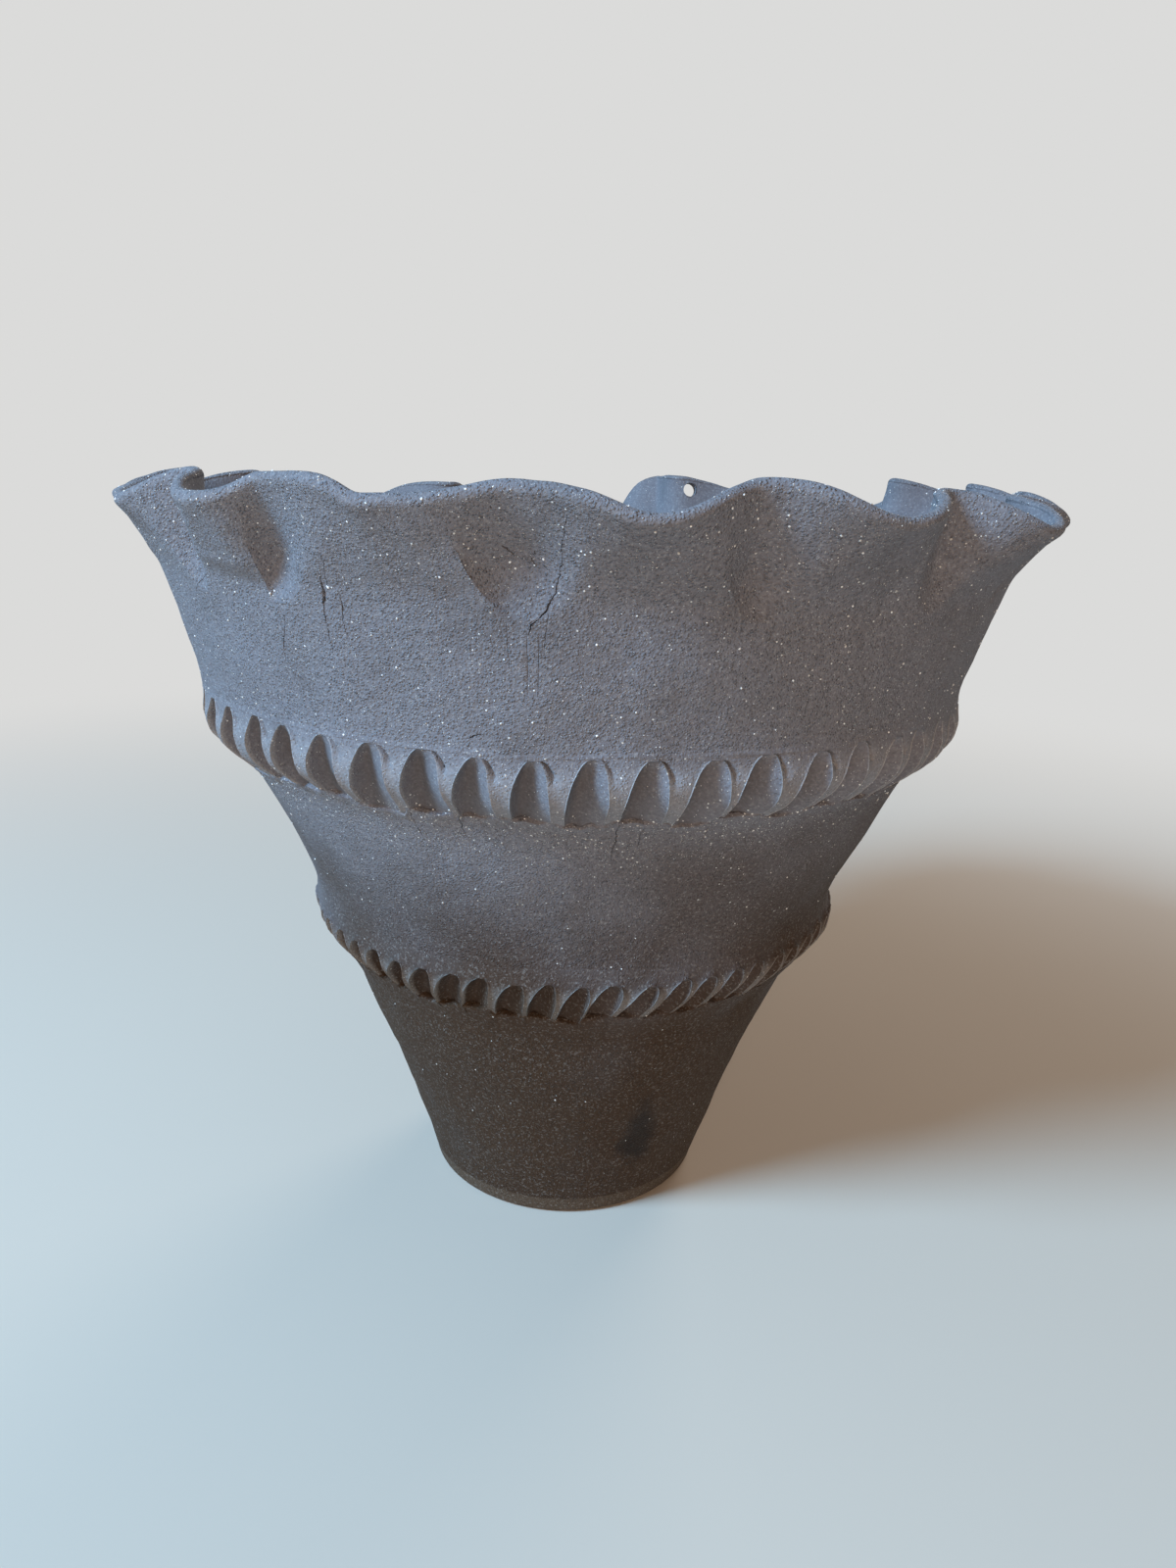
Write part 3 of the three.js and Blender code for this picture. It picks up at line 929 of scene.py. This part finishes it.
# %% Every row of a band, from its top edge down
def band_rows(press, band):
    """Each row as (kind, millimetres below the joint, millimetres below the hollow's top, how far it is
    filled, millimetres that it stands proud)."""
    top_edge = (band["joint"] - band["edges"][1]) / MM
    low_edge = (band["joint"] - band["edges"][0]) / MM
    start = press["start"]
    arch = ARCH_ROWS[-1]
    length = press["length"]
    end = start + length
    drag = DRAG_ROWS[-1][0]
    inner = EDGE_ROWS[-1][0]
    rows = [("above", top_edge + down, 0, 1, proud) for down, proud in EDGE_ROWS]
    rows += [("above", mix(top_edge + inner, start, share), 0, 1, 0) for share in (0.45, 0.75, 0.93)]
    rows += [("hollow", start + down, down, 1, 0) for down in ARCH_ROWS]
    rows += [
        ("hollow", mix(start + arch, end, share), mix(arch, length, share), 1, 0)
        for share in TROUGH_ROWS
    ]
    rows += [("drag", end + down, length + down, filled, proud) for down, filled, proud in DRAG_ROWS]
    highest = mix(end + drag, low_edge, 0.1)
    rows += [
        ("below", max(low_edge - up, highest), FAR_BELOW, 1, proud) for up, proud in reversed(EDGE_ROWS)
    ]
    return rows


def lane_place(press, row, across, band):
    """The direction of one crossing: across is -1 and 1 on the hollow's two edges."""
    kind, drop, down, _, _ = row
    reach = 0.2 if kind == "above" else arch_width(min(down, press["length"]), across, band)
    if kind in ("drag", "below"):
        reach += 0.3 * between(-1.0, 3.2, down - press["length"])
    slant = press["lean"] * (press["length"] / 2 - (drop - press["start"])) * MM
    turn = math.degrees(slant / cone_radius(band["joint"]))
    return press["middle"] + across * press["half"] * reach + turn


def hollow_depth(press, row, across):
    """How deep the fingertip went, as a share of the band's swell: steep on its left, easy on its right."""
    kind, _, down, filled, _ = row
    if kind in ("above", "below"):
        return 0.0
    tip = min(1.0, down / TIP_RADIUS)
    way = (across + 1) / 2
    left = 1 - max(0.0, 1 - way / DEEPEST) ** 2
    right = 1 - max(0.0, (way - DEEPEST) / (1 - DEEPEST)) ** 1.6
    depth = press["depth"] * math.sqrt((1 - (1 - tip) ** 2) * max(0.0, left)) * right
    return depth * (1 - filled) if kind == "drag" else depth


def rim_height(press, row, gap):
    """The clay pushed up round a hollow, in millimetres, at a distance from the hollow's edge."""
    kind, drop, down, _, _ = row
    if kind not in ("above", "hollow"):
        return 0.0
    near = between(-2.4, -0.2, drop - press["start"])
    upper_part = between(press["length"], 0.4 * press["length"], down)
    return press["rim"] * near * upper_part * math.exp(-gap / 1.1)


def ridge_relief(press, row, gap, share):
    """The clay between two hollows, in millimetres: a burr on its left edge, the nail's crescent beside
    it, and a sag towards its foot. gap is the distance from the left hollow's edge."""
    kind, _, down, _, _ = row
    if kind != "hollow":
        return 0.0
    crescent = between(-0.4, 1.2, down) * between(8.0, 5.0, down)
    crescent *= math.exp(-(((gap - 0.8 - 0.24 * down) / (0.4 + 0.07 * down)) ** 2))
    sag = 0.6 * math.sin(math.pi * share) * between(6, 20, down)
    return BURR * math.exp(-gap / 0.9) * between(0, 1, down) - press["nail"] * crescent - sag


# %% Build a band
# The hollows' lower ends wander up and down. Below them the dragged clay is torn, with gaps and crumbs.
WANDER = 0.9 * MM
WANDER_SIZE = 4 * MM
TORN_SIZE = 5 * MM
GAP_SIZE = 8 * MM
CRUMBS = 0.3
CRUMB_SIZE = 2.4 * MM
BACK_STEP = 8 * MM
BACK_INSET = 0.3 * MM


def ragged(degrees, z, size):
    """A smooth random value round the pot, about -1 to 1."""
    return noise(pot_point(degrees, outside_radius(z), z) / size) * 1.6


def front_point(degrees, row, hollow, extra, band):
    kind, drop, down, _, proud = row
    z = band["joint"] - drop * MM
    if kind in ("hollow", "drag"):
        z += WANDER * ragged(degrees, band["joint"], WANDER_SIZE) * min(1.0, down / band["length"]) ** 6
    cone = cone_radius(z)
    if kind == "drag" and proud > 0:
        proud *= max(0.0, 0.6 + ragged(degrees, z, TORN_SIZE))
    elif kind == "drag":
        proud *= max(0.0, ragged(degrees, z, GAP_SIZE))
    if kind in ("drag", "below"):
        proud += CRUMBS * ragged(degrees, z, CRUMB_SIZE)
    swell = (outside_radius(z) - cone) * (1 - hollow)
    return pot_point(degrees, cone + swell + (proud + extra) * MM, z)


def band_columns(band):
    """Every column of the band's front: lists of (direction, row, hollow, extra, smoothing and painted
    shade, rubbing and painted highlight).
    """
    presses = draw_presses(band)
    columns = []
    for number, press in enumerate(presses):
        after = dict(presses[(number + 1) % len(presses)])
        if number == len(presses) - 1:
            after["middle"] += 360
        rows = band_rows(press, band)
        after_rows = band_rows(after, band)
        for across in HOLLOW_LANES:
            columns.append([])
            for row in rows:
                hollow = hollow_depth(press, row, across)
                # A hollow's two edges get a burr and a pale line, partly a painted highlight
                edge = 1.0 if abs(across) > 0.99 and row[0] == "hollow" and row[2] > 0.4 else 0.0
                # In a hollow this also sets its painted shade: the deeper, the darker
                smoothed = 0.35 + 0.65 * hollow**1.4 if row[0] == "hollow" else 0.2
                degrees = lane_place(press, row, across, band)
                extra = BURR * edge + (0.0 if hollow > 0.1 else rim_height(press, row, 0.0))
                columns[-1].append((degrees, row, hollow, extra, smoothed, edge))
        for share in RIDGE_LANES:
            columns.append([])
            for row, other in zip(rows, after_rows):
                left = lane_place(press, row, 1, band)
                right = lane_place(after, other, -1, band)
                width = math.radians(right - left) * cone_radius(band["joint"]) / MM
                blended = (row[0], *[mix(a, b, share) for a, b in zip(row[1:], other[1:])])
                extra = ridge_relief(press, blended, share * width, share)
                extra += rim_height(press, blended, share * width)
                extra += rim_height(after, blended, (1 - share) * width)
                # The ridges are paler down their length, partly rubbed and partly a painted highlight
                rub_and_highlight = band["rub_and_highlight"] * between(0, 7, row[2]) if row[0] == "hollow" else 0.0
                columns[-1].append((mix(left, right, share), blended, 0.0, extra, 0.3, rub_and_highlight))
    return columns


def make_band(name, band):
    columns = band_columns(band)
    front = []
    marks = {"smoothed": [], "rubbed_and_highlight": []}
    for index in range(len(columns[0])):
        places = [column[index] for column in columns]
        front.append([front_point(*place[:4], band) for place in places])
        marks["smoothed"].append([place[4] for place in places])
        marks["rubbed_and_highlight"].append([place[5] for place in places])
    back = []
    for z in rise_between(*band["edges"], BACK_STEP):
        back.append([pot_point(column[0][0], cone_radius(z) - BACK_INSET, z) for column in columns])
        marks["smoothed"].append([0.0] * len(columns))
        marks["rubbed_and_highlight"].append([0.0] * len(columns))
    return wrap_grid(name, front + back, marks)


upper_band = make_band("upper_pressed_band_clay", UPPER_BAND)
lower_band = make_band("lower_pressed_band_clay", LOWER_BAND)

# %% [markdown]
# ## Cracks and scratches
# Groggy clay tears where it is bent: a crack runs down from each deep dent, and a rib or a fingernail left
# upright scratches under it. They are cut into the clay, so that they catch real shadow. Each is a chain of
# marks in degrees and millimetres up the pot, with its width at each mark. A three-sided tube, pulled along
# the marks and shaken a little, is the knife: two of its edges run above the surface and the third one
# below it.

# %% Where the clay's outside is
def skin_of(pieces):
    """All the outsides together, to find the clay from any direction."""
    corners = []
    faces = []
    for piece in pieces:
        first = len(corners)
        corners += [vertex.co.copy() for vertex in piece.data.vertices]
        faces += [[first + index for index in face.vertices] for face in piece.data.polygons]
    return BVHTree.FromPolygons(corners, faces)


FAR_OUT = 300 * MM
skin = skin_of([lower_wall, middle_wall, upper_wall, collar, upper_band, lower_band])


def on_the_skin(degrees, height):
    """The point and the direction square to it, seen from outside at this height in millimetres."""
    start = pot_point(degrees, FAR_OUT, height * MM)
    inwards = pot_point(degrees, 0, height * MM) - start
    point, out, _, _ = skin.ray_cast(start, inwards.normalized())
    return point, out


print("the skin at the front, 250 mm up:", on_the_skin(0, 250)[0])

# %% Cut the cracks
CRACKS = [
    [(358.5, 311.2, 0.2), (358.1, 304.3, 0.3), (358, 297.3, 0.3), (357.4, 288.9, 0.5), (356.7, 284.3, 0.9),
     (356.2, 282.5, 0.7), (355.2, 279.5, 0.5), (355, 276.5, 0.2)],
    [(333.9, 292, 0.3), (333.7, 287.5, 0.8), (333.6, 284.6, 1.8), (333.2, 282.6, 0.9), (333, 277, 0.4),
     (332.9, 267.3, 0.15)],
    [(335.3, 298, 0.2), (334.5, 290.1, 0.35), (334.3, 288, 0.2)],
    [(335.5, 286.5, 0.2), (335.4, 281, 0.6), (335.1, 277.4, 0.3), (335.4, 271.5, 0.15)],
    [(316.8, 296.6, 0.2), (313, 286.9, 0.6), (309.7, 280.4, 0.2)],
    [(327.2, 276.6, 0.2), (325.3, 266.2, 0.6), (325, 262, 0.2)],
    [(322.6, 269.2, 0.3), (322.2, 265.8, 0.3)],
    [(305.8, 306.5, 0.2), (305.5, 297.7, 0.8), (306.4, 294, 0.3)],
    [(19.3, 281, 0.3), (19, 272.7, 0.3), (19.3, 269.9, 0.2)],
    [(26.4, 263.2, 0.2), (27.9, 256, 0.35), (29.3, 248.9, 0.2)],
    [(352.6, 301.9, 0.5), (353.1, 300.4, 0.9), (353.5, 299.2, 0.3)],
    [(355, 298.8, 0.3), (355.6, 296.4, 0.5)],
    [(355.4, 300.6, 0.8), (355.6, 299.9, 0.6)],
    [(352.2, 312.7, 0.7), (352.2, 312.1, 0.7)],
    [(354.9, 312, 0.7), (354.9, 311.4, 0.6)],
    [(348, 242.6, 0.3), (348.7, 243.5, 0.9), (349.5, 244.4, 0.4)],
    [(1.2, 245.4, 0.2), (2.4, 247.6, 0.4), (3.3, 250.5, 0.2)],
    [(5.6, 212.4, 0.3), (5.5, 205, 0.6), (5.2, 197, 0.2)],
    [(8.9, 211, 0.3), (8.7, 206, 0.4), (8.8, 202.5, 0.2)],
    [(345.1, 212, 0.4), (344.9, 207.5, 0.5), (345.2, 203, 0.2)],
    [(338.4, 212, 0.3), (338.1, 206.5, 0.4), (338.5, 199, 0.2)],
    [(17.6, 211.5, 0.3), (17.9, 206, 0.35), (17.6, 203, 0.2)],
    [(58, 300, 0.2), (60, 289, 0.6), (59.4, 278, 0.2)],
    [(101, 296, 0.2), (99, 284, 0.9), (99.6, 271, 0.2)],
    [(143, 298, 0.2), (141, 283, 0.7), (141.6, 268, 0.2)],
    [(190, 296, 0.2), (188.4, 284, 1), (189.2, 270, 0.2)],
    [(232, 297, 0.2), (230.6, 286, 0.5), (231.4, 274, 0.2)],
    [(270.5, 299, 0.2), (269, 285, 0.8), (269.8, 272, 0.2)],
]
SCRATCHES = [
    [(352.7, 280, 0.5), (352.9, 265.4, 0.4)],
    [(354.7, 277.5, 0.6), (354.8, 266.8, 0.8), (354.7, 257.5, 0.4)],
    [(356.8, 282.8, 0.6), (356.4, 271.9, 0.5)],
    [(355.9, 274.2, 0.5), (355.8, 257.6, 0.4)],
    [(15.5, 285.8, 0.5), (15.8, 279.3, 0.5), (15.6, 266, 0.3)],
    [(18.6, 268.4, 0.5), (18.8, 259.2, 0.4)],
    [(17.2, 280, 0.4), (17.3, 262, 0.5)],
]
# The knife, in millimetres: its depth, how unsteady it is, how far it stands out, and its steps
CRACK_DEPTH = 1.5
CRACK_SHAKE = 0.3
SCRATCH_DEPTH = 0.22
SCRATCH_SHAKE = 0.08
KNIFE_LIFT = 0.7
CUT_STEP = 1.1
# About the wall's radius, to tell which way a chain runs
CUT_RADIUS = 170 * MM
shake = random.Random(5)


def marks_between(marks):
    """Fills a chain of marks in, about one step apart."""
    filled = [marks[0]]
    for old, new in zip(marks, marks[1:]):
        around = math.radians(new[0] - old[0]) * outside_radius(new[1] * MM) / MM
        count = max(1, round(math.hypot(around, new[1] - old[1]) / CUT_STEP))
        filled += [[mix(a, b, i / count) for a, b in zip(old, new)] for i in range(1, count + 1)]
    return filled


def knife(marks, depth, unsteady):
    """A three-sided tube along the marks, closed at both ends."""
    marks = marks_between(marks)
    rings = []
    for number, (degrees, height, width) in enumerate(marks):
        jitter = math.degrees(shake.uniform(-unsteady, unsteady) * MM / outside_radius(height * MM))
        point, out = on_the_skin(degrees + jitter, height)
        before, after = marks[max(0, number - 1)], marks[min(len(marks) - 1, number + 1)]
        ahead = pot_point(after[0], CUT_RADIUS, after[1] * MM)
        ahead -= pot_point(before[0], CUT_RADIUS, before[1] * MM)
        side = out.cross(ahead).normalized()
        half = width / 2 * (1 + KNIFE_LIFT / depth) * shake.uniform(0.5, 1.0)
        top = point + out * KNIFE_LIFT * MM
        rings.append([top - side * half * MM, top + side * half * MM, point - out * depth * MM])
    tube = bend_grid(3, len(rings) - 1, [ring[column % 3] for ring in rings for column in range(4)])
    join_edges()
    bpy.ops.mesh.select_all(action="DESELECT")
    bpy.ops.mesh.select_non_manifold()
    bpy.ops.mesh.fill_holes(sides=4)
    close_up()
    return tube


def cut_marks(chains, depth, unsteady, pieces):
    """Joins the tubes of all the chains into one cutter and cuts it out of each piece."""
    tubes = [knife(marks, depth, unsteady) for marks in chains]
    start_clean()
    for tube in tubes:
        tube.select_set(True)
    bpy.context.view_layer.objects.active = tubes[0]
    bpy.ops.object.join()
    for piece in pieces:
        cut_away(piece, tubes[0])
    remove_piece(tubes[0])


cut_marks(CRACKS, CRACK_DEPTH, CRACK_SHAKE, [collar, upper_wall, upper_band, middle_wall])
cut_marks(SCRATCHES, SCRATCH_DEPTH, SCRATCH_SHAKE, [collar, upper_wall])
print("cracks:", len(CRACKS), "scratches:", len(SCRATCHES), "collar faces:", len(collar.data.polygons))

# %% [markdown]
# ## The grog
# Some grains of fired grit stand out of the clay and catch the light, most of them near the lip and along
# the upper band. One grain is modelled: a small ball with twenty faces, squashed a little. Operators
# would take minutes over three thousand copies, so its corners are copied in code, each time turned and
# scaled at random and sunk nearly halfway into the clay. All the copies together are one mesh.

# %% One grain
start_clean()
bpy.ops.mesh.primitive_ico_sphere_add(subdivisions=1, radius=1)
grain = bpy.context.object
bpy.ops.transform.resize(value=(1.0, 0.85, 0.7))
bpy.ops.object.transform_apply(location=True, rotation=True, scale=True)
grain_corners = [vertex.co.copy() for vertex in grain.data.vertices]
grain_faces = [tuple(face.vertices) for face in grain.data.polygons]
remove_piece(grain)
print("faces in a grain:", len(grain_faces))

# %% Scatter the grains
# Lowest and highest place in millimetres, and how many grains lie between them
GRAIN_BELTS = [(302, 321, 640), (281, 302, 460), (252, 281, 420), (237, 252, 360), (203, 216, 620),
               (160, 203, 200), (20, 160, 140)]
LIP_GRAINS = 380
LIP_RADII = (166, 200)
LOWEST_LIP = 303 * MM
ABOVE_THE_POT = 340 * MM
# The grains' radii in millimetres, their lift as a share of that, and how far small ones outnumber big ones
GRAIN_SIZES = (0.15, 0.48)
GRAIN_LIFT = 0.1
MOSTLY_SMALL = 2.2
scatter = random.Random(31)


def room_for(point):
    """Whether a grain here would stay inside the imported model's own box."""
    smallest, largest = cad_box
    return all(a + MM < b < c - MM for a, b, c in zip(smallest[:2], point[:2], largest[:2]))


def belt_place(low, high):
    return on_the_skin(scatter.uniform(0, 360), scatter.uniform(low, high))


def lip_place():
    """A point on the lip's top, found from above."""
    start = pot_point(scatter.uniform(0, 360), scatter.uniform(*LIP_RADII) * MM, ABOVE_THE_POT)
    point, out, _, _ = skin.ray_cast(start, Vector((0, 0, -1)))
    if point and LOWEST_LIP < point.z < cad_box[1][2] - MM and out.z > 0.25:
        return point, out
    return None, None


def scattered(count, find, *facts):
    """So many places for grains, each found by its own random draw."""
    found = []
    while len(found) < count:
        point, out = find(*facts)
        if point and room_for(point):
            found.append((point, out))
    return found


places = []
for low, high, count in GRAIN_BELTS:
    places += scattered(count, belt_place, low, high)
places += scattered(LIP_GRAINS, lip_place)

corners = []
faces = []
for point, out in places:
    size = mix(*GRAIN_SIZES, scatter.random() ** MOSTLY_SMALL) * MM
    turn = out.to_track_quat("Z", "Y").to_matrix() @ Matrix.Rotation(scatter.uniform(0, 6.28), 3, "Z")
    first = len(corners)
    corners += [point + out * size * GRAIN_LIFT + turn @ (corner * size) for corner in grain_corners]
    faces += [[first + index for index in face] for face in grain_faces]
grog_mesh = bpy.data.meshes.new("grog_grains")
grog_mesh.from_pydata(corners, [], faces)
grog = bpy.data.objects.new("grog_grains", grog_mesh)
bpy.context.collection.objects.link(grog)
print("grains:", len(places), "faces:", len(faces))

# %% The grains' finish
quartz, shader, place = new_material("pale_quartz")
kind = noise_at(place, 260.0, 1.0)
shade = blend(ramp(kind, 0.35, 0.65), colour(190, 182, 172), colour(244, 242, 238))
feed(shader, Base_Color=shade, Roughness=ramp(kind, 0.3, 0.7, 0.6, 0.25), Specular_IOR_Level=0.8)
grog.data.materials.append(quartz)
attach(grog, "root")

# %% Finish the walls, the collar and the bands
finish_piece(lower_wall, "lower_wall", wall_clay)
finish_piece(middle_wall, "middle_wall", wall_clay)
finish_piece(upper_wall, "upper_wall", wall_clay)
finish_piece(collar, "ruffled_collar", wall_clay)
finish_piece(upper_band, "upper_pressed_band", band_clay)
finish_piece(lower_band, "lower_pressed_band", band_clay)

# %% [markdown]
# ## The stage and the light
# The pot stands on a pale floor that shows its shadow. Further out the floor turns into the same plain
# paper colour as the world behind it, but only for the camera, so the background is even from every side
# and puts no extra light on the pot. The light is soft: a large cool panel on the left, like a window,
# a weaker warm one in front, a weak one behind on the right, and a faint glow from above and all round.

# %% Floor
FLOOR_RADIUS = 12
PLAIN_FROM = 0.3
PLAIN_BEYOND = 1.3
PAPER = colour(219, 219, 218)
start_clean()
bpy.ops.mesh.primitive_circle_add(vertices=96, radius=FLOOR_RADIUS, fill_type="NGON")
floor = bpy.context.object
floor.name = "floor"


def plain_behind(tree, lit, plain, share=None):
    """Shows the lit surface, but plain paper to rays that only show the background. Where share is given,
    it says how plain the surface is at each point."""
    rays = add_node(tree, "ShaderNodeLightPath").outputs
    seen = maths("MAXIMUM", rays["Is Camera Ray"], rays["Is Glossy Ray"])
    seen = maths("MAXIMUM", seen, rays["Is Transmission Ray"])
    if share:
        seen = times(share, seen)
    backdrop = add_node(tree, plain, Color=PAPER, Strength=1.0)
    mixed = add_node(tree, "ShaderNodeMixShader", i0=seen, i1=lit.outputs[0], i2=backdrop.outputs[0])
    return mixed.outputs["Shader"]


paper, sheet, place = new_material("pale_paper")
feed(sheet, Base_Color=colour(206, 191, 174), Roughness=0.95)
far = ramp(distance(place), PLAIN_FROM, PLAIN_BEYOND)
tree = paper.node_tree
feed(tree.nodes["Material Output"], Surface=plain_behind(tree, sheet, "ShaderNodeEmission", far))
floor.data.materials.append(paper)

# %% Lights
LIGHT_TARGET = Vector((0, 0, 0.22))
WORLD_GLOW = 0.12


def add_panel(name, place, size, power, tint):
    panel = bpy.data.lights.new(name, "AREA")
    panel.shape = "DISK"
    panel.size = size
    panel.energy = power
    panel.color = tint
    lamp = bpy.data.objects.new(name, panel)
    lamp.location = place
    aim = LIGHT_TARGET - Vector(place)
    lamp.rotation_euler = aim.to_track_quat("-Z", "Y").to_euler()
    lamp.visible_camera = False
    bpy.context.collection.objects.link(lamp)


add_panel("window_light", (-1.68, -1.18, 1.74), 0.8, 130, (0.36, 0.66, 1.0))
add_panel("front_fill", (-0.1, -2.3, 0.8), 1.0, 24, (1.0, 0.74, 0.54))
add_panel("back_light", (1.1, 2.1, 1.0), 1.2, 24, (1.0, 0.96, 0.92))
add_panel("sky_panel", (-0.2, -0.2, 1.7), 1.2, 1, (0.97, 0.98, 1.0))

world = bpy.data.worlds.new("soft_world")
world.use_nodes = True
tree = world.node_tree
glow = tree.nodes["Background"]
feed(glow, Color=(1.0, 0.96, 0.92, 1), Strength=WORLD_GLOW)
feed(tree.nodes["World Output"], Surface=plain_behind(tree, glow, "ShaderNodeBackground"))
bpy.context.scene.world = world
bpy.context.scene.view_settings.view_transform = "Standard"
